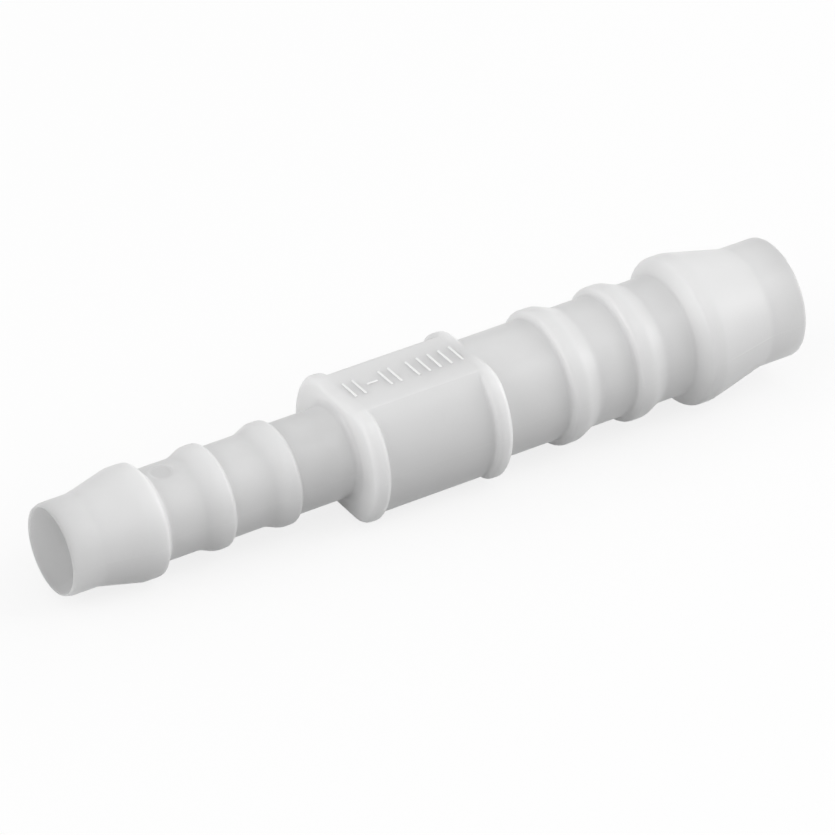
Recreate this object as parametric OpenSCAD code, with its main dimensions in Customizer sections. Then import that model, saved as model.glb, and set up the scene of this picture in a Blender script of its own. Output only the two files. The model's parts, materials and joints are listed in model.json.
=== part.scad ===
/* [Small tail] */
// Outside diameter of the plain tube, the same as the bore of the hose it takes
small_tube_d = 6; // [5.6:0.1:6.4]
// Length from the tip to the face of the hub
small_tail_l = 20.2; // [18.8:0.05:26]
// Diameter over the barb
small_barb_d = 7.4; // [7:0.1:8]
// Length of the plain land ahead of the barb
small_land_l = 2.2; // [1.4:0.05:2.8]
// Length of the cone that stretches the hose
small_cone_l = 2.95; // [2.4:0.05:3.4]
// Length of the level crest of the barb
small_barb_crest_l = 1.1; // [0.6:0.05:1.3]
// Diameter over the ridges
small_ridge_d = 6.8; // [6.5:0.1:7.2]
// Distance from the tip to the middle of the first ridge
small_first_ridge = 10.75; // [10:0.05:11.2]
// Distance from one ridge to the next
small_ridge_pitch = 4.7; // [3:0.05:5.4]
// Length of the level crest of a ridge
small_ridge_crest_l = 0.8; // [0.4:0.05:1.2]
// Diameter of the bore
small_bore_d = 4.2; // [3.2:0.1:4.6]
// Wall left at the lip of the mouth
small_lip_wall = 0.2; // [0.15:0.01:0.5]
// Length over which the outside rounds in towards the lip
small_lip_l = 0.5; // [0.2:0.05:0.8]
// How far the outside rounds in at the lip
small_lip_drop = 0.12; // [0.05:0.01:0.14]
// Length of the taper from the mouth to the bore
small_lead_l = 3; // [1:0.5:6]
// Radius of the fillet where the tube meets the hub
small_root_r = 0.4; // [0.2:0.1:0.6]

/* [Big tail] */
// Outside diameter of the plain tube, the same as the bore of the hose it takes
big_tube_d = 8.05; // [7.6:0.05:8.4]
// Length from the tip to the face of the hub
big_tail_l = 22.95; // [20.6:0.05:28]
// Diameter over the barb
big_barb_d = 10; // [9.4:0.05:10.6]
// Length of the plain land ahead of the barb
big_land_l = 2.65; // [1.6:0.05:3.2]
// Length of the cone that stretches the hose
big_cone_l = 4.2; // [3.6:0.05:4.8]
// Length of the level crest of the barb
big_barb_crest_l = 0.95; // [0.6:0.05:1.3]
// Diameter over the ridges
big_ridge_d = 9.05; // [8.6:0.05:9.4]
// Distance from the tip to the middle of the first ridge
big_first_ridge = 12.4; // [11.6:0.05:13]
// Distance from one ridge to the next
big_ridge_pitch = 5.05; // [3.4:0.05:5.8]
// Length of the level crest of a ridge
big_ridge_crest_l = 0.95; // [0.4:0.05:1.4]
// Diameter of the bore
big_bore_d = 6; // [5:0.1:6.6]
// Wall left at the lip of the mouth
big_lip_wall = 0.2; // [0.15:0.01:0.5]
// Length over which the outside rounds in towards the lip
big_lip_l = 0.1; // [0.1:0.05:0.8]
// How far the outside rounds in at the lip
big_lip_drop = 0.05; // [0.05:0.01:0.14]
// Length of the taper from the mouth to the bore
big_lead_l = 4; // [1:0.5:6]

/* [Barbs and ridges] */
// Ridges behind each barb
ridge_count = 2; // [1:1:2]
// Slope of a barb's back, measured from the axis
barb_back_angle = 52; // [40:1:60]
// Slope of a ridge towards the tip
ridge_front_angle = 23; // [20:1:40]
// Slope of a ridge towards the hub
ridge_back_angle = 64; // [40:1:66]
// Radius that blends the long slopes into the tube and into their crests
slope_blend_r = 1.2; // [0.4:0.1:1.6]
// Radius that rounds the steep shoulders of barbs and ridges
shoulder_r = 0.3; // [0.1:0.02:0.34]
// Radius that eases the hollow where a steep slope meets the tube
foot_r = 0.14; // [0.06:0.02:0.2]

/* [Hub] */
// Length of the hub, over both collars
hub_l = 10.15; // [8:0.05:16]
// Diameter of the round sides between the collars
core_d = 9.25; // [9:0.05:9.6]
// Distance across the two flats
core_flats = 7.95; // [7.6:0.05:8.1]
// Radius along the edges of the flats
core_edge_r = 0.3; // [0.15:0.05:0.5]
// How far the collars stand above the round sides
collar_rise = 0.4; // [0.36:0.02:0.6]
// How far the collars stand above the flats
collar_flat_rise = 0.03; // [0.02:0.01:0.1]
// Radius of the corners of the collars, seen along the pipe
collar_corner_r = 2.4; // [1:0.1:2.6]
// Length of the level crest of a collar
collar_crest_l = 1.05; // [0.8:0.05:1.4]
// Radius along the edges of a collar
collar_edge_r = 0.4; // [0.2:0.05:0.4]
// Slope of a collar towards the middle of the hub, measured from the axis
collar_back_angle = 66; // [50:1:68]
// Radius that eases the hollow where a collar meets the round sides
collar_foot_r = 0.2; // [0.05:0.05:0.2]
// Length of the cone inside the hub that joins the two bores
bore_step_l = 2; // [1:0.5:4]

/* [Ejector mark] */
// Diameter of the disc left by the ejector pin
pin_mark_d = 1.4; // [1:0.05:1.6]
// Distance from the small tip to the middle of the disc
pin_mark_x = 7.8; // [7.7:0.05:8.4]
// Depth of the disc below the top of the tube
pin_mark_depth = 0.12; // [0.1:0.01:0.2]

/* [Hidden] */
$fn = 96;

// Turn of an outline in one step of a rounded corner
arc_step = 7.5;
// Most that an outline turns between the narrow flats that round a corner of a double-D slab
corner_turn = 10;
// Slope at which the eased foot of a collar runs into the round sides
run_in_angle = 12;
// Overlap of pieces that grow into each other, and run-out of a cut
overlap = 1;

overall_l = small_tail_l + hub_l + big_tail_l;
small_tip_x = -overall_l / 2;
big_tip_x = overall_l / 2;
small_face_x = small_tip_x + small_tail_l;
big_face_x = big_tip_x - big_tail_l;
small_mouth_d = small_tube_d - 2 * small_lip_wall;
big_mouth_d = big_tube_d - 2 * big_lip_wall;
collar_d = core_d + 2 * collar_rise;
collar_flats = core_flats + 2 * collar_flat_rise;

function unit(v) = v / norm(v);
function turn_of(a, b, c) =
    let (u = unit(b - a), v = unit(c - b)) atan2(u.x * v.y - u.y * v.x, u * v);

// Points of an arc of radius r that rounds the corner b between a and c
function corner(a, b, c, r) =
    let (
        turn = turn_of(a, b, c),
        u = unit(b - a),
        side = turn > 0 ? [-u.y, u.x] : [u.y, -u.x],
        centre = b - u * r * tan(abs(turn) / 2) + side * r,
        steps = max(2, ceil(abs(turn) / arc_step))
    )
    [for (i = [0:steps])
        let (t = turn * i / steps)
        centre + r * [-side.x * cos(t) + side.y * sin(t), -side.x * sin(t) - side.y * cos(t)]];

// An outline from corners [axial, radial, rounding], with each rounding drawn as an arc
function rounded(path) =
    [for (i = [0:len(path) - 1])
        let (b = [path[i][0], path[i][1]], r = path[i][2])
        each r == 0 ? [b] : corner(
            [path[i - 1][0], path[i - 1][1]], b, [path[i + 1][0], path[i + 1][1]], r)];

function radial_axial(points) = [for (p = points) [p.y, p.x]];

// A rounding radius, or the largest whose arc takes no more than room on each side of its corner
function fitting(r, room, turn) = min(r, room / tan(turn / 2));

// Half section of a ridge: a long slope, a level crest and a short slope, the tube on both sides
function ridge(tube_r, ridge_r, middle, crest_l) =
    let (
        rise = ridge_r - tube_r,
        front = middle - crest_l / 2,
        back = middle + crest_l / 2,
        long_slope = rise / sin(ridge_front_angle),
        short_slope = rise / sin(ridge_back_angle),
        blend_r = fitting(slope_blend_r, 0.45 * min(long_slope, crest_l), ridge_front_angle),
        steep_r = fitting(shoulder_r, 0.5 * min(short_slope, crest_l), ridge_back_angle),
        hollow_r = fitting(foot_r, 0.3 * short_slope, ridge_back_angle)
    )
    [
        [front - rise / tan(ridge_front_angle), tube_r, blend_r],
        [front, ridge_r, blend_r],
        [back, ridge_r, steep_r],
        [back + rise / tan(ridge_back_angle), tube_r, hollow_r]
    ];

// Half section of all the ridges of a tail
function ridges(tube_r, ridge_r, first, pitch, crest_l) =
    [for (i = [0:ridge_count - 1]) each ridge(tube_r, ridge_r, first + i * pitch, crest_l)];

// An arc from the lip at 0 that runs smoothly into the tube
function lip_arc(tube_r, lip_l, lip_drop) =
    let (
        r = (lip_l * lip_l + lip_drop * lip_drop) / (2 * lip_drop),
        turn = asin(lip_l / r),
        steps = max(2, ceil(turn / arc_step))
    )
    [for (i = [0:steps])
        let (t = turn * (1 - i / steps))
        [lip_l - r * sin(t), tube_r - r * (1 - cos(t)), 0]];

// Half section of a barb: a plain land, a cone, a level crest and a steep back
function barb(tube_r, barb_r, land_l, cone_l, crest_l) =
    let (
        crest = land_l + cone_l,
        crest_end = crest + crest_l
    )
    [
        [land_l, tube_r, slope_blend_r],
        [crest, barb_r, slope_blend_r],
        [crest_end, barb_r, shoulder_r],
        [crest_end + (barb_r - tube_r) / tan(barb_back_angle), tube_r, foot_r]
    ];

// Half section of a hose tail from its tip at 0, up to and into the hub
function tail_section(tube_r, lip_part, barb_part, ridge_part, tail_l, root_r) =
    [
        [0, 0, 0],
        each lip_part,
        each barb_part,
        each ridge_part,
        [tail_l, tube_r, root_r],
        [tail_l, tube_r + root_r, 0],
        [tail_l + overlap, tube_r + root_r, 0],
        [tail_l + overlap, 0, 0]
    ];

// A tail stands on its tip and grows upwards
module small_tail() {
    tube_r = small_tube_d / 2;
    rotate_extrude()
        polygon(radial_axial(rounded(tail_section(
            tube_r,
            lip_arc(tube_r, small_lip_l, small_lip_drop),
            barb(tube_r, small_barb_d / 2, small_land_l, small_cone_l, small_barb_crest_l),
            ridges(tube_r, small_ridge_d / 2, small_first_ridge, small_ridge_pitch, small_ridge_crest_l),
            small_tail_l, small_root_r))));
}

module big_tail() {
    tube_r = big_tube_d / 2;
    rotate_extrude()
        polygon(radial_axial(rounded(tail_section(
            tube_r,
            lip_arc(tube_r, big_lip_l, big_lip_drop),
            barb(tube_r, big_barb_d / 2, big_land_l, big_cone_l, big_barb_crest_l),
            ridges(tube_r, big_ridge_d / 2, big_first_ridge, big_ridge_pitch, big_ridge_crest_l),
            big_tail_l, 0))));
}

// Half section of a collar at a given reach from the axis, its outer face at 0
function collar_rim(reach) =
    let (
        foot = collar_crest_l + collar_rise / tan(collar_back_angle),
        back = foot + overlap
    )
    rounded([
        [0, 0, 0],
        [0, reach, collar_edge_r],
        [collar_crest_l, reach, collar_edge_r],
        [foot, reach - collar_rise, collar_foot_r],
        [back, reach - collar_rise - overlap * tan(run_in_angle), 0],
        [back, 0, 0]
    ]);

// Half section of the core, from the middle of one collar to the middle of the other
function core_rim(reach) =
    let (core_l = hub_l - collar_crest_l)
    [[0, 0], [0, reach], [core_l, reach], [core_l, 0]];

// The same section on both sides of the axis
function both_sides(half) = [each half, for (i = [len(half) - 1:-1:0]) [half[i].x, -half[i].y]];

// A bar with one half section along both of its edges
module rimmed_bar(half, length) {
    translate([-length / 2, 0, 0])
        rotate([90, 0, 90])
            linear_extrude(length)
                polygon(radial_axial(both_sides(half)));
}

// A double-D slab whose rim runs round the sides, along the flats and over the rounded corners:
// what a round slab, a bar along the flats and turned bars for the corners have in common.
// rim gives the half section at any reach
module double_d(r, half_flats, corner_r, rim) {
    corner_reach = r - corner_r;
    side_angle = asin((half_flats - corner_r) / corner_reach);
    steps = ceil((90 - side_angle) / corner_turn);
    step = (90 - side_angle) / steps;
    intersection() {
        rotate_extrude()
            polygon(radial_axial(rim(r)));
        rimmed_bar(rim(half_flats), 2 * r + overlap);
        intersection_for(i = [1:steps - 1], way = [-1, 1])
            rotate([0, 0, way * i * step])
                rimmed_bar(rim(corner_reach * cos(90 - side_angle - i * step) + corner_r), 2 * r + overlap);
    }
}

module collar() {
    double_d(collar_d / 2, collar_flats / 2, collar_corner_r, function (reach) collar_rim(reach));
}

module core() {
    double_d(core_d / 2, core_flats / 2, core_edge_r, function (reach) core_rim(reach));
}

module hub() {
    collar();
    translate([0, 0, collar_crest_l / 2]) core();
    translate([0, 0, hub_l]) mirror([0, 0, 1]) collar();
}

// The way through, with a tapered mouth at each tip and a cone inside the hub
module passage() {
    step_x = (small_face_x + big_face_x) / 2;
    small_taper = (small_mouth_d - small_bore_d) / 2 / small_lead_l;
    big_taper = (big_mouth_d - big_bore_d) / 2 / big_lead_l;
    rotate_extrude()
        polygon(radial_axial([
            [small_tip_x - overlap, 0],
            [small_tip_x - overlap, small_mouth_d / 2 + small_taper * overlap],
            [small_tip_x + small_lead_l, small_bore_d / 2],
            [step_x - bore_step_l / 2, small_bore_d / 2],
            [step_x + bore_step_l / 2, big_bore_d / 2],
            [big_tip_x - big_lead_l, big_bore_d / 2],
            [big_tip_x + overlap, big_mouth_d / 2 + big_taper * overlap],
            [big_tip_x + overlap, 0]
        ]));
}

module pin_mark() {
    floor_z = small_tube_d / 2 - pin_mark_depth;
    translate([small_tip_x + pin_mark_x, 0, floor_z])
        cylinder(d = pin_mark_d, h = overlap);
}

// The pipe is drawn standing up and laid along X, its flats facing up and down
module laid_down() {
    rotate([90, 0, 90]) children();
}

module reducer() {
    color([0.86, 0.86, 0.84])
        difference() {
            union() {
                laid_down() {
                    translate([0, 0, small_tip_x]) small_tail();
                    translate([0, 0, small_face_x]) hub();
                    translate([0, 0, big_tip_x]) mirror([0, 0, 1]) big_tail();
                }
            }
            laid_down() passage();
            pin_mark();
        }
}

reducer();
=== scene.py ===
# %% [markdown]
# # A moulded hose reducer
# This small fitting joins a hose of 6 mm bore to one of 8 mm bore. It is a single injection
# moulding in natural, undyed plastic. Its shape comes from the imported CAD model, so this script
# adds what a model maker would call the finish: the plastic itself, the seam that the two halves
# of the mould leave, the raised marks on the top flat, and the table and light to see it in.

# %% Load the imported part
import json
import math

import bmesh
import bpy
from mathutils import Matrix, Vector


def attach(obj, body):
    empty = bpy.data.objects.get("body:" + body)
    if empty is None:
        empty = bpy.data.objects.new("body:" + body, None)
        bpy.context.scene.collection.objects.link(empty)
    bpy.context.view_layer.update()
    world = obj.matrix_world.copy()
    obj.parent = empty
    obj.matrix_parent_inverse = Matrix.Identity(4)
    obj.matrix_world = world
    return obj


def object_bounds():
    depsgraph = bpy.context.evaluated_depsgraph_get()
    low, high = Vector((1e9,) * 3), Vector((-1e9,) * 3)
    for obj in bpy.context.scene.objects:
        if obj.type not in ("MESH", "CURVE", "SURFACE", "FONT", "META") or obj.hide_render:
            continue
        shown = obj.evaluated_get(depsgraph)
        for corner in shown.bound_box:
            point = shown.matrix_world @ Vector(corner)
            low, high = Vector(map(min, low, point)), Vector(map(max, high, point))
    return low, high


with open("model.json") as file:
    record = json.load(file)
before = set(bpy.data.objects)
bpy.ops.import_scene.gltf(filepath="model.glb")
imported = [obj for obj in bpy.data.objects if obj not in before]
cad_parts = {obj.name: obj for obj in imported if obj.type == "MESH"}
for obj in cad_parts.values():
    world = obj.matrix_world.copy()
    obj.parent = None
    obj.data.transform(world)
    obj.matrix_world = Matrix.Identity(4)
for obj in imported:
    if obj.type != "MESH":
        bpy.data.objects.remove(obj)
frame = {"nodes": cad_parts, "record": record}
cad_low, cad_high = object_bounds()
MM = 0.001
reducer = frame["nodes"]["reducer"]
print("reducer, mm:", [round(side / MM, 2) for side in cad_high - cad_low])

# %% [markdown]
# ## Measures taken from the part
# What is added later hangs on a few places of the real part: the height of the top flat and the
# two tips. The flat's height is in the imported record, as one of the part's mounts, so it is read
# from there and typed nowhere.

# %% Find the flat and the tips
mounts = {mount["name"]: mount for mount in frame["record"]["mounts"]}
flat_z = mounts["top_flat"]["pos_m"][2]
small_tip_x = cad_low.x
big_tip_x = cad_high.x
print("top flat at", round(flat_z / MM, 3), "mm above the axis")

# %% [markdown]
# ## The camera
# The photograph was taken from far away with a long lens, which keeps the far end of the pipe
# nearly as large as the near one. The camera circles the part: an azimuth and an elevation turn
# it, and a distance and a point to aim at place it. A long focal length then fills the frame. A
# turn of less than a degree about the line of sight is how the camera was held.

# %% Set up the camera
VIEW_AZIMUTH = -31.52
VIEW_ELEVATION = 33.31
VIEW_ROLL = -0.84
VIEW_DISTANCE = 351.95 * MM
VIEW_AIM = Vector((-0.24, 0.22, 0.12)) * MM
LENS = 241.44

azimuth = math.radians(VIEW_AZIMUTH)
elevation = math.radians(VIEW_ELEVATION)
towards_camera = Vector((
    math.sin(azimuth) * math.cos(elevation),
    -math.cos(azimuth) * math.cos(elevation),
    math.sin(elevation),
))
camera_data = bpy.data.cameras.new("camera")
camera_data.lens = LENS
camera_data.sensor_width = 36
camera_data.clip_start = 0.01
camera_data.clip_end = 10
camera = bpy.data.objects.new("camera", camera_data)
camera.location = VIEW_AIM + towards_camera * VIEW_DISTANCE
camera.rotation_euler = (-towards_camera).to_track_quat("-Z", "Y").to_euler()
camera.rotation_euler.rotate_axis("Z", math.radians(VIEW_ROLL))
bpy.context.scene.collection.objects.link(camera)
bpy.context.scene.camera = camera
print("camera at", [round(place, 4) for place in camera.location])

# %% [markdown]
# ## Raised marks on the top flat
# The top flat carries small raised bars and a dash. They are engraved in the mould, so they stand
# proud of the part. A ball-nosed cutter leaves a groove with round ends and a rounded bottom, and
# the bar that is moulded in it has the same shape. A circle drawn out to a slot and then raised
# gives the round ends, and a bevel of its upper rim gives the rounded top. All the bars are
# gathered in one mesh, as they are one feature of the moulding.

# %% Make one bar
MARK_RISE = 0.04 * MM
MARK_ROOT = 0.10 * MM
MARK_WIDTH = 0.17 * MM
MARK_EDGE = 0.04 * MM
MARK_END_POINTS = 24


def add_bar(mesh, centre_x, centre_y, length, turned=False):
    """A raised bar with round ends, let a little way into the flat; turned lays it along the pipe."""
    made = bmesh.ops.create_circle(
        mesh, cap_ends=True, radius=MARK_WIDTH / 2, segments=MARK_END_POINTS)
    outline = made["verts"]
    bmesh.ops.rotate(
        mesh, cent=(0, 0, 0), verts=outline,
        matrix=Matrix.Rotation(math.pi / MARK_END_POINTS, 3, "Z"))
    for end in (1, -1):
        half = [vert for vert in outline if vert.co.y * end > 0]
        bmesh.ops.translate(mesh, vec=(0, end * (length - MARK_WIDTH) / 2, 0), verts=half)
    if turned:
        bmesh.ops.rotate(
            mesh, cent=(0, 0, 0), matrix=Matrix.Rotation(math.pi / 2, 3, "Z"), verts=outline)
    bmesh.ops.translate(mesh, vec=(centre_x, centre_y, flat_z - MARK_ROOT), verts=outline)
    base = outline[0].link_faces[0]
    raised = bmesh.ops.extrude_face_region(mesh, geom=[base], use_keep_orig=True)["geom"]
    upper = [item for item in raised if isinstance(item, bmesh.types.BMVert)]
    bmesh.ops.translate(mesh, vec=(0, 0, MARK_RISE + MARK_ROOT), verts=upper)
    rim = [item for item in raised if isinstance(item, bmesh.types.BMEdge)]
    bmesh.ops.bevel(
        mesh, geom=rim, offset=MARK_EDGE, offset_type="OFFSET", segments=3,
        profile=0.5, affect="EDGES", material=-1)


print("a bar stands", round(MARK_RISE / MM, 3), "mm above the flat")

# %% Lay the bars out in three groups with a dash
MARK_CENTRE_Y = 0.15 * MM
MARK_LENGTH = 1.75 * MM
DASH_LENGTH = 0.8 * MM
BAR_PLACES_MM = [-5.2, -4.5, -2.6, -1.9, -0.6, 0.2, 1.0, 1.8, 2.6]
DASH_PLACE_MM = -3.55

marks_mesh = bmesh.new()
for place in BAR_PLACES_MM:
    add_bar(marks_mesh, place * MM, MARK_CENTRE_Y, MARK_LENGTH)
add_bar(marks_mesh, DASH_PLACE_MM * MM, MARK_CENTRE_Y, DASH_LENGTH, turned=True)
bmesh.ops.recalc_face_normals(marks_mesh, faces=marks_mesh.faces)
marks_data = bpy.data.meshes.new("raised_marks")
marks_mesh.to_mesh(marks_data)
print("raised marks:", len(marks_mesh.faces), "faces")
marks_mesh.free()
marks_data.shade_smooth()
raised_marks = bpy.data.objects.new("raised_marks", marks_data)
bpy.context.scene.collection.objects.link(raised_marks)
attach(raised_marks, "root")

# %% [markdown]
# ## How the plastic looks
# Natural plastic has no pigment, so it is a milky white that lets a little light in. Thin lips
# and raised rims glow, and shadows stay soft. Subsurface scattering gives that. The skin takes
# the mould's own fine texture, a satin sheen that isn't quite even. The group below makes these
# small variations once, from the place on the part, for every material that needs them: cloudy
# tone, a sheen that is stretched along the pipe as the melt flowed, and a fine grain.

# %% Build the moulded skin as a node group
CLOUDS_PER_METRE = 160
STREAKS_PER_METRE = 900
STREAK_STRETCH = 0.25
GRAINS_PER_METRE = 5200
CLOUD_CHANGE = 0.02
SHEEN_CHANGE = 0.08


def socket(tree, name, kind, direction, default=None):
    """One named input or output of a node group."""
    made = tree.interface.new_socket(name=name, in_out=direction, socket_type=kind)
    if default is not None:
        made.default_value = default
    return made


def node(tree, kind, **settings):
    """A node with its settings made in one go."""
    made = tree.nodes.new(kind)
    for name, value in settings.items():
        setattr(made, name, value)
    return made


def math_node(tree, operation, first, second=None, clamp=False):
    """A maths node, whose inputs are numbers or the outputs of other nodes."""
    made = node(tree, "ShaderNodeMath", operation=operation, use_clamp=clamp)
    for index, value in enumerate((first, second)):
        if value is None:
            continue
        if isinstance(value, (int, float)):
            made.inputs[index].default_value = value
        else:
            tree.links.new(value, made.inputs[index])
    return made.outputs[0]


def noise(tree, vector, scale, detail=2.0, roughness=0.5):
    """Noise at a scale in cells per metre."""
    made = node(tree, "ShaderNodeTexNoise", noise_dimensions="3D")
    made.inputs["Scale"].default_value = scale
    made.inputs["Detail"].default_value = detail
    made.inputs["Roughness"].default_value = roughness
    tree.links.new(vector, made.inputs["Vector"])
    return made.outputs["Fac"]


def build_moulded_skin():
    """Tone, sheen and height of a moulded surface, from the place on it."""
    tree = bpy.data.node_groups.new("moulded_skin", "ShaderNodeTree")
    socket(tree, "Place", "NodeSocketVector", "INPUT")
    socket(tree, "Cloud", "NodeSocketFloat", "INPUT", CLOUD_CHANGE)
    socket(tree, "Sheen Change", "NodeSocketFloat", "INPUT", SHEEN_CHANGE)
    socket(tree, "Tone", "NodeSocketFloat", "OUTPUT")
    socket(tree, "Sheen", "NodeSocketFloat", "OUTPUT")
    socket(tree, "Grain", "NodeSocketFloat", "OUTPUT")
    given = node(tree, "NodeGroupInput")
    result = node(tree, "NodeGroupOutput")
    place = given.outputs["Place"]

    cloud = noise(tree, place, CLOUDS_PER_METRE, detail=3.0)
    cloud = math_node(tree, "SUBTRACT", cloud, 0.5)
    tone = math_node(tree, "MULTIPLY", cloud, given.outputs["Cloud"])
    tree.links.new(tone, result.inputs["Tone"])

    stretch = node(tree, "ShaderNodeMapping")
    stretch.inputs["Scale"].default_value = (STREAK_STRETCH, 1, 1)
    tree.links.new(place, stretch.inputs["Vector"])
    flow = noise(tree, stretch.outputs["Vector"], STREAKS_PER_METRE, detail=4.0)
    flow = math_node(tree, "SUBTRACT", flow, 0.5)
    sheen = math_node(tree, "MULTIPLY", flow, given.outputs["Sheen Change"])
    tree.links.new(sheen, result.inputs["Sheen"])

    grain = noise(tree, place, GRAINS_PER_METRE, detail=3.0, roughness=0.6)
    tree.links.new(grain, result.inputs["Grain"])
    return tree


moulded_skin = build_moulded_skin()
print("skin group sockets:", [item.name for item in moulded_skin.interface.items_tree])

# %% [markdown]
# ## Places on the body with a look of their own
# Two marks of the mould belong to the body alone. Its two halves met on the level plane through the
# axis, so a hair-thin raised seam runs along both sides, clearest on the slope of the big barb. It is
# a bump and not geometry, because it is only two hundredths of a millimetre high, and it is also
# painted lighter: a painted highlight along the raised line. The ejector pin pushed the part out of
# the mould on the small tube, and the spot that it pressed is a little darker.
#
# The sides and underside of the hub are painted a shade darker than the tubes. Its wall is about
# twice as thick, and this painted shade stands in for the light that comes back out of it less. Its
# wall is about twice as thick, so less light may come back out of it, and the unseen underside is
# treated alike. The passage's wall, found as the surface that faces the axis, is painted darker too,
# as painted shade inside the bore. The steel pin that forms it is often left as it was turned, so its
# wall is also made rougher.

# %% Make a mask for each place
SEAM_HALF_WIDTH = 0.07 * MM
SEAM_FAINT = 0.25
SEAM_CLEAR_PLACE = big_tip_x - 4.5 * MM
SEAM_CLEAR_HALF = 1.6 * MM
SEAM_CLEAR_FADE = 0.5 * MM
PIN_MARK_PLACE = small_tip_x + 7.8 * MM
PIN_MARK_RADIUS = 0.8 * MM
PIN_MARK_CORE = 0.6 * PIN_MARK_RADIUS
PASSAGE_MARGIN = 0.5 * MM
HUB_MIDDLE = mounts["top_flat"]["pos_m"][0]
HUB_HALF = 4.6 * MM
HUB_FADE = 1 * MM
FLAT_MARGIN = 0.02 * MM


def fade(tree, distance, inner, outer):
    """1 up to the inner distance, falling smoothly to 0 at the outer one."""
    made = node(tree, "ShaderNodeMapRange", interpolation_type="SMOOTHSTEP")
    made.inputs["From Min"].default_value = inner
    made.inputs["From Max"].default_value = outer
    made.inputs["To Min"].default_value = 1
    made.inputs["To Max"].default_value = 0
    tree.links.new(distance, made.inputs["Value"])
    return made.outputs["Result"]


def distance_along(tree, axes, place):
    """How far the surface is from a place along the pipe."""
    offset = math_node(tree, "SUBTRACT", axes.outputs["X"], place)
    return math_node(tree, "ABSOLUTE", offset)


def seam_mask(tree, axes):
    """1 along the seam on the slope of the big barb, and a faint share elsewhere."""
    off_seam = math_node(tree, "ABSOLUTE", axes.outputs["Z"])
    seam = fade(tree, off_seam, 0, SEAM_HALF_WIDTH)
    from_clear = distance_along(tree, axes, SEAM_CLEAR_PLACE)
    clear = fade(tree, from_clear, SEAM_CLEAR_HALF, SEAM_CLEAR_HALF + SEAM_CLEAR_FADE)
    kept = math_node(tree, "MULTIPLY", clear, 1 - SEAM_FAINT)
    kept = math_node(tree, "ADD", kept, SEAM_FAINT)
    return math_node(tree, "MULTIPLY", seam, kept)


def pin_mask(tree, axes):
    """1 in the spot that the ejector pin pressed, on top of the small tube."""
    along = distance_along(tree, axes, PIN_MARK_PLACE)
    along = math_node(tree, "MULTIPLY", along, along)
    across = math_node(tree, "MULTIPLY", axes.outputs["Y"], axes.outputs["Y"])
    from_pin = math_node(tree, "SQRT", math_node(tree, "ADD", along, across))
    spot = fade(tree, from_pin, PIN_MARK_CORE, PIN_MARK_RADIUS)
    above = math_node(tree, "GREATER_THAN", axes.outputs["Z"], 0)
    return math_node(tree, "MULTIPLY", spot, above)


def passage_mask(tree, axes):
    """1 where the surface faces the axis, as the passage's wall does."""
    surface = node(tree, "ShaderNodeNewGeometry")
    facing = node(tree, "ShaderNodeSeparateXYZ")
    tree.links.new(surface.outputs["True Normal"], facing.inputs["Vector"])
    sideways = math_node(tree, "MULTIPLY", axes.outputs["Y"], facing.outputs["Y"])
    upwards = math_node(tree, "MULTIPLY", axes.outputs["Z"], facing.outputs["Z"])
    outwards = math_node(tree, "ADD", sideways, upwards)
    return math_node(tree, "LESS_THAN", outwards, -PASSAGE_MARGIN)


def hub_shade_mask(tree, axes):
    """1 on the hub between its collars, below the top flat, where it is painted a shade darker."""
    from_middle = distance_along(tree, axes, HUB_MIDDLE)
    thick = fade(tree, from_middle, HUB_HALF - HUB_FADE, HUB_HALF)
    below_flat = math_node(tree, "LESS_THAN", axes.outputs["Z"], flat_z - FLAT_MARGIN)
    return math_node(tree, "MULTIPLY", thick, below_flat)


print("pin's spot at", round(PIN_MARK_PLACE / MM, 2), "mm along the pipe")

# %% [markdown]
# ## The natural plastic
# The material adds each place's change of tone, sheen or height to what the skin gives. No edge
# of a moulding is quite sharp, so a bevel node turns the surface's direction gradually from one
# side of an edge to the other. It changes how the light falls there, not the mesh, and blends the
# strips that each curve of the mesh is made of.

# %% Build the material of the body
PLASTIC_IOR = 1.49
GLOW_DEPTH = 2 * MM
BUMP_UNIT = 0.01 * MM
EDGE_EASE = 0.3 * MM
PLASTIC_TONE = 0.8
PLASTIC_ROUGHNESS = 0.36
# Painted highlight: how much lighter the seam is painted
SEAM_PAINTED_HIGHLIGHT = 0.05
# Painted shade on the hub's sides and underside
HUB_PAINTED_SHADE = 0.05
# Painted shade on the passage's wall
PASSAGE_PAINTED_SHADE = 0.06
PASSAGE_ROUGHER = 0.1
PIN_MARK_LOSS = 0.03
# Heights, counted in bump units
GRAIN_HEIGHT = 0.35
SEAM_HEIGHT = 2


def start_plastic(name, glow_share):
    """A natural plastic with the moulded skin; glow_share of its light spreads below the surface."""
    material = bpy.data.materials.new(name)
    material.use_nodes = True
    tree = material.node_tree
    shader = tree.nodes["Principled BSDF"]
    shader.inputs["IOR"].default_value = PLASTIC_IOR
    shader.inputs["Subsurface Weight"].default_value = glow_share
    shader.inputs["Subsurface Radius"].default_value = (1, 1, 1)
    shader.inputs["Subsurface Scale"].default_value = GLOW_DEPTH
    place = node(tree, "ShaderNodeTexCoord").outputs["Object"]
    skin = node(tree, "ShaderNodeGroup", node_tree=moulded_skin)
    tree.links.new(place, skin.inputs["Place"])
    return material, tree, shader, place, skin


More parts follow.
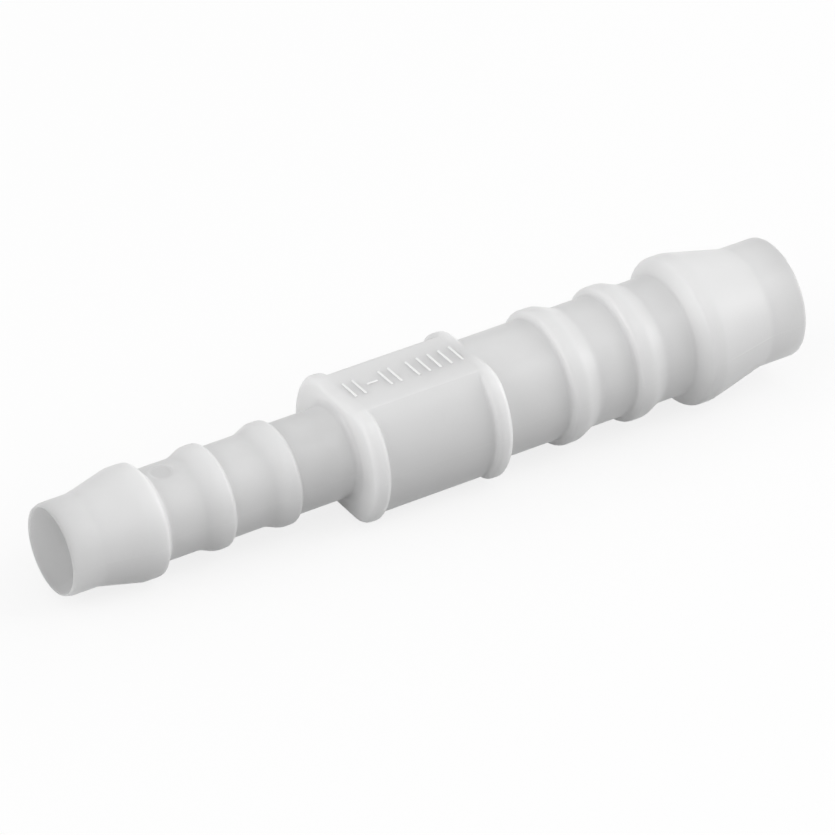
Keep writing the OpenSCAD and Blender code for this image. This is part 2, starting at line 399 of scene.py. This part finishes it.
def finish_plastic(tree, shader, tone, sheen, height, ease=0):
    """Links tone, roughness and height to the shader; ease rounds the edges to the eye."""
    colour = node(tree, "ShaderNodeCombineColor")
    for channel in ("Red", "Green", "Blue"):
        tree.links.new(tone, colour.inputs[channel])
    tree.links.new(colour.outputs["Color"], shader.inputs["Base Color"])
    tree.links.new(sheen, shader.inputs["Roughness"])
    bump = node(tree, "ShaderNodeBump")
    if ease:
        eased = node(tree, "ShaderNodeBevel", samples=6)
        eased.inputs["Radius"].default_value = ease
        tree.links.new(eased.outputs["Normal"], bump.inputs["Normal"])
    bump.inputs["Strength"].default_value = 1
    bump.inputs["Distance"].default_value = BUMP_UNIT
    tree.links.new(height, bump.inputs["Height"])
    tree.links.new(bump.outputs["Normal"], shader.inputs["Normal"])


def changed(tree, value, mask, amount):
    """The value, changed by the amount where the mask is 1."""
    return math_node(tree, "ADD", value, math_node(tree, "MULTIPLY", mask, amount))


def natural_plastic():
    """The body's plastic: the skin, with the seam and its painted highlight, the pin's spot, and
    painted shade in the passage and on the hub.
    """
    material, tree, shader, place, skin = start_plastic("natural_plastic_body", glow_share=1)
    axes = node(tree, "ShaderNodeSeparateXYZ")
    tree.links.new(place, axes.inputs["Vector"])
    seam = seam_mask(tree, axes)
    passage = passage_mask(tree, axes)

    tone = math_node(tree, "ADD", skin.outputs["Tone"], PLASTIC_TONE)
    # Painted highlight: the seam is painted lighter along its raised line
    tone = changed(tree, tone, seam, SEAM_PAINTED_HIGHLIGHT)
    # Painted shade: the hub's sides and underside are darkened
    tone = changed(tree, tone, hub_shade_mask(tree, axes), -HUB_PAINTED_SHADE)
    # Painted shade: the passage's wall is darkened
    tone = changed(tree, tone, passage, -PASSAGE_PAINTED_SHADE)
    tone = changed(tree, tone, pin_mask(tree, axes), -PIN_MARK_LOSS)
    sheen = math_node(tree, "ADD", skin.outputs["Sheen"], PLASTIC_ROUGHNESS)
    sheen = changed(tree, sheen, passage, PASSAGE_ROUGHER)
    height = math_node(tree, "MULTIPLY", skin.outputs["Grain"], GRAIN_HEIGHT)
    height = changed(tree, height, seam, SEAM_HEIGHT)
    finish_plastic(tree, shader, tone, sheen, height, ease=EDGE_EASE)
    return material


body_plastic = natural_plastic()
reducer.material_slots[0].material = body_plastic
print("body material:", reducer.material_slots[0].material.name)

# %% [markdown]
# ## The same plastic on the marks
# The bars are the same plastic and were made in the same mould, so they take the same skin. The
# cutter that sank them into the mould leaves its groove smoother than the wall around it, so they
# shine a little more. Light can't spread from one mesh into another, and a bar is so thin that it
# would lose all its light and turn dark. So this plastic has no glow, and a pale tone that is painted
# light: it stands in for that lost glow and for the light that raised lines catch more than the flat.
# The rims of the bars are rounded already, so their edges need no easing.

# %% Build the material of the raised marks
# Painted light: the pale tone of the bars
MARKS_PAINTED_LIGHT_TONE = 0.97
MARKS_ROUGHNESS = 0.3
MARKS_GRAIN_HEIGHT = 0.2


def marks_plastic():
    """The raised marks' plastic: the same skin, a little smoother, and a pale tone that is painted
    light.
    """
    material, tree, shader, _, skin = start_plastic("natural_plastic_marks", glow_share=0)
    # Painted light: the bars' pale tone
    tone = math_node(tree, "ADD", skin.outputs["Tone"], MARKS_PAINTED_LIGHT_TONE)
    sheen = math_node(tree, "ADD", skin.outputs["Sheen"], MARKS_ROUGHNESS)
    height = math_node(tree, "MULTIPLY", skin.outputs["Grain"], MARKS_GRAIN_HEIGHT)
    finish_plastic(tree, shader, tone, sheen, height)
    return material


raised_marks.data.materials.append(marks_plastic())
print("marks material:", raised_marks.material_slots[0].material.name)

# %% [markdown]
# ## The table
# The part lies on its two barbs, and the big one is larger, so the table is tilted a little in
# the part's own frame and touches both. A large sheet from a grid operator is all it needs. To
# the camera it is a plain white. In the light that it throws back it is a mid grey, so that the
# underside of the part stays in shade.

# %% Lay the table under both barbs
SMALL_BARB_X = small_tip_x + 5.7 * MM
SMALL_BARB_RADIUS = 3.7 * MM
BIG_BARB_X = big_tip_x - 7.3 * MM
BIG_BARB_RADIUS = -cad_low.z
TABLE_SIZE = 3000 * MM

slope = (BIG_BARB_RADIUS - SMALL_BARB_RADIUS) / (BIG_BARB_X - SMALL_BARB_X)
tilt = math.atan(slope)
table_mesh = bmesh.new()
bmesh.ops.create_grid(table_mesh, x_segments=2, y_segments=2, size=TABLE_SIZE / 2)
bmesh.ops.rotate(
    table_mesh, cent=(0, 0, 0), matrix=Matrix.Rotation(tilt, 3, "Y"), verts=table_mesh.verts)
drop = BIG_BARB_RADIUS - slope * BIG_BARB_X
bmesh.ops.translate(table_mesh, vec=(0, 0, -drop), verts=table_mesh.verts)
table_data = bpy.data.meshes.new("table")
table_mesh.to_mesh(table_data)
table_mesh.free()
table = bpy.data.objects.new("table", table_data)
bpy.context.scene.collection.objects.link(table)
print("table tilted by", round(math.degrees(tilt), 2), "degrees")

# %% Give the table its white
TABLE_GREY = 0.28
TABLE_WHITE = 1
TABLE_GLOW_SHARE = 0.8
TABLE_ROUGHNESS = 0.9


def seen_directly(tree):
    """1 for rays from the camera, a mirror or through glass, and 0 for light that spreads."""
    path = node(tree, "ShaderNodeLightPath")
    seen = math_node(tree, "ADD", path.outputs["Is Camera Ray"], path.outputs["Is Glossy Ray"])
    return math_node(tree, "ADD", seen, path.outputs["Is Transmission Ray"], clamp=True)


def table_material():
    """White to the eye, mid grey in the light it throws back, and it keeps the shadow."""
    material = bpy.data.materials.new("table_white")
    material.use_nodes = True
    tree = material.node_tree
    shader = tree.nodes["Principled BSDF"]
    shader.inputs["Roughness"].default_value = TABLE_ROUGHNESS
    seen = seen_directly(tree)
    grey = node(tree, "ShaderNodeMapRange")
    grey.inputs["To Min"].default_value = TABLE_GREY
    grey.inputs["To Max"].default_value = TABLE_WHITE
    tree.links.new(seen, grey.inputs["Value"])
    tree.links.new(grey.outputs["Result"], shader.inputs["Base Color"])
    glow = node(tree, "ShaderNodeEmission")
    glow.inputs["Color"].default_value = (1, 1, 1, 1)
    glow.inputs["Strength"].default_value = 1
    mix = node(tree, "ShaderNodeMixShader")
    share = math_node(tree, "MULTIPLY", seen, TABLE_GLOW_SHARE)
    tree.links.new(share, mix.inputs["Fac"])
    tree.links.new(shader.outputs["BSDF"], mix.inputs[1])
    tree.links.new(glow.outputs["Emission"], mix.inputs[2])
    tree.links.new(mix.outputs["Shader"], tree.nodes["Material Output"].inputs["Surface"])
    return material


table.data.materials.append(table_material())
print("table material:", table.material_slots[0].material.name)

# %% [markdown]
# ## The light
# White plastic shows its shape only where the light changes from one side to the next. It stands
# in a pale room, like a photographer's tent. A low, broad panel past each tip lights the faces of
# the collars and ridges, so that no side of a ridge goes dark. A panel above the front lifts the
# upper sides. The panel past the big tip isn't mirrored in the plastic, as it would draw its glare
# down the whole edge of each ridge. A small softbox in front of it is mirrored instead, as the
# bright patch on the big cone and the fine lines along the shoulders, and a small high lamp adds
# the bright spots on the corners of the collars.

# %% Light the room and hang the panels
ROOM_GREY = 0.565
PANEL_DISTANCE = 0.6


def room_light():
    """A plain pale room, white where the camera sees it."""
    world = bpy.data.worlds.new("room")
    bpy.context.scene.world = world
    world.use_nodes = True
    tree = world.node_tree
    room = tree.nodes["Background"]
    room.inputs["Color"].default_value = (ROOM_GREY, ROOM_GREY, ROOM_GREY, 1)
    white = node(tree, "ShaderNodeBackground")
    white.inputs["Color"].default_value = (1, 1, 1, 1)
    mix = node(tree, "ShaderNodeMixShader")
    path = node(tree, "ShaderNodeLightPath")
    tree.links.new(path.outputs["Is Camera Ray"], mix.inputs["Fac"])
    tree.links.new(room.outputs["Background"], mix.inputs[1])
    tree.links.new(white.outputs["Background"], mix.inputs[2])
    tree.links.new(mix.outputs["Shader"], tree.nodes["World Output"].inputs["Surface"])


def hang_panel(name, azimuth_deg, elevation_deg, width, height, brightness):
    """A soft lamp that looks at the part; brightness 1 lights it as white paper looks white."""
    lamp_data = bpy.data.lights.new(name, "AREA")
    lamp_data.shape = "RECTANGLE"
    lamp_data.size = width
    lamp_data.size_y = height
    lamp_data.energy = brightness * (math.pi * PANEL_DISTANCE) ** 2
    turn = math.radians(azimuth_deg)
    rise = math.radians(elevation_deg)
    away = Vector((
        math.sin(turn) * math.cos(rise), -math.cos(turn) * math.cos(rise), math.sin(rise)))
    lamp = bpy.data.objects.new(name, lamp_data)
    lamp.location = away * PANEL_DISTANCE
    lamp.rotation_euler = (-away).to_track_quat("-Z", "Y").to_euler()
    bpy.context.scene.collection.objects.link(lamp)
    return lamp


room_light()
# Azimuth and elevation in degrees, width and height in metres, and brightness
hang_panel("small_tip_panel", -87, 23, 0.6, 0.4, 0.46)
big_tip_panel = hang_panel("big_tip_panel", 90, 13, 0.8, 0.24, 0.45)
big_tip_panel.visible_glossy = False
hang_panel("softbox", 74, 16, 0.28, 0.28, 0.20)
hang_panel("front_panel", 20, 46, 0.6, 0.5, 0.12)
hang_panel("high_lamp", 50, 52, 0.12, 0.12, 0.04)

# %% [markdown]
# ## Show it plainly
# The plain display keeps every grey as it was mixed.

# %% Set the display
bpy.context.scene.view_settings.view_transform = "Standard"
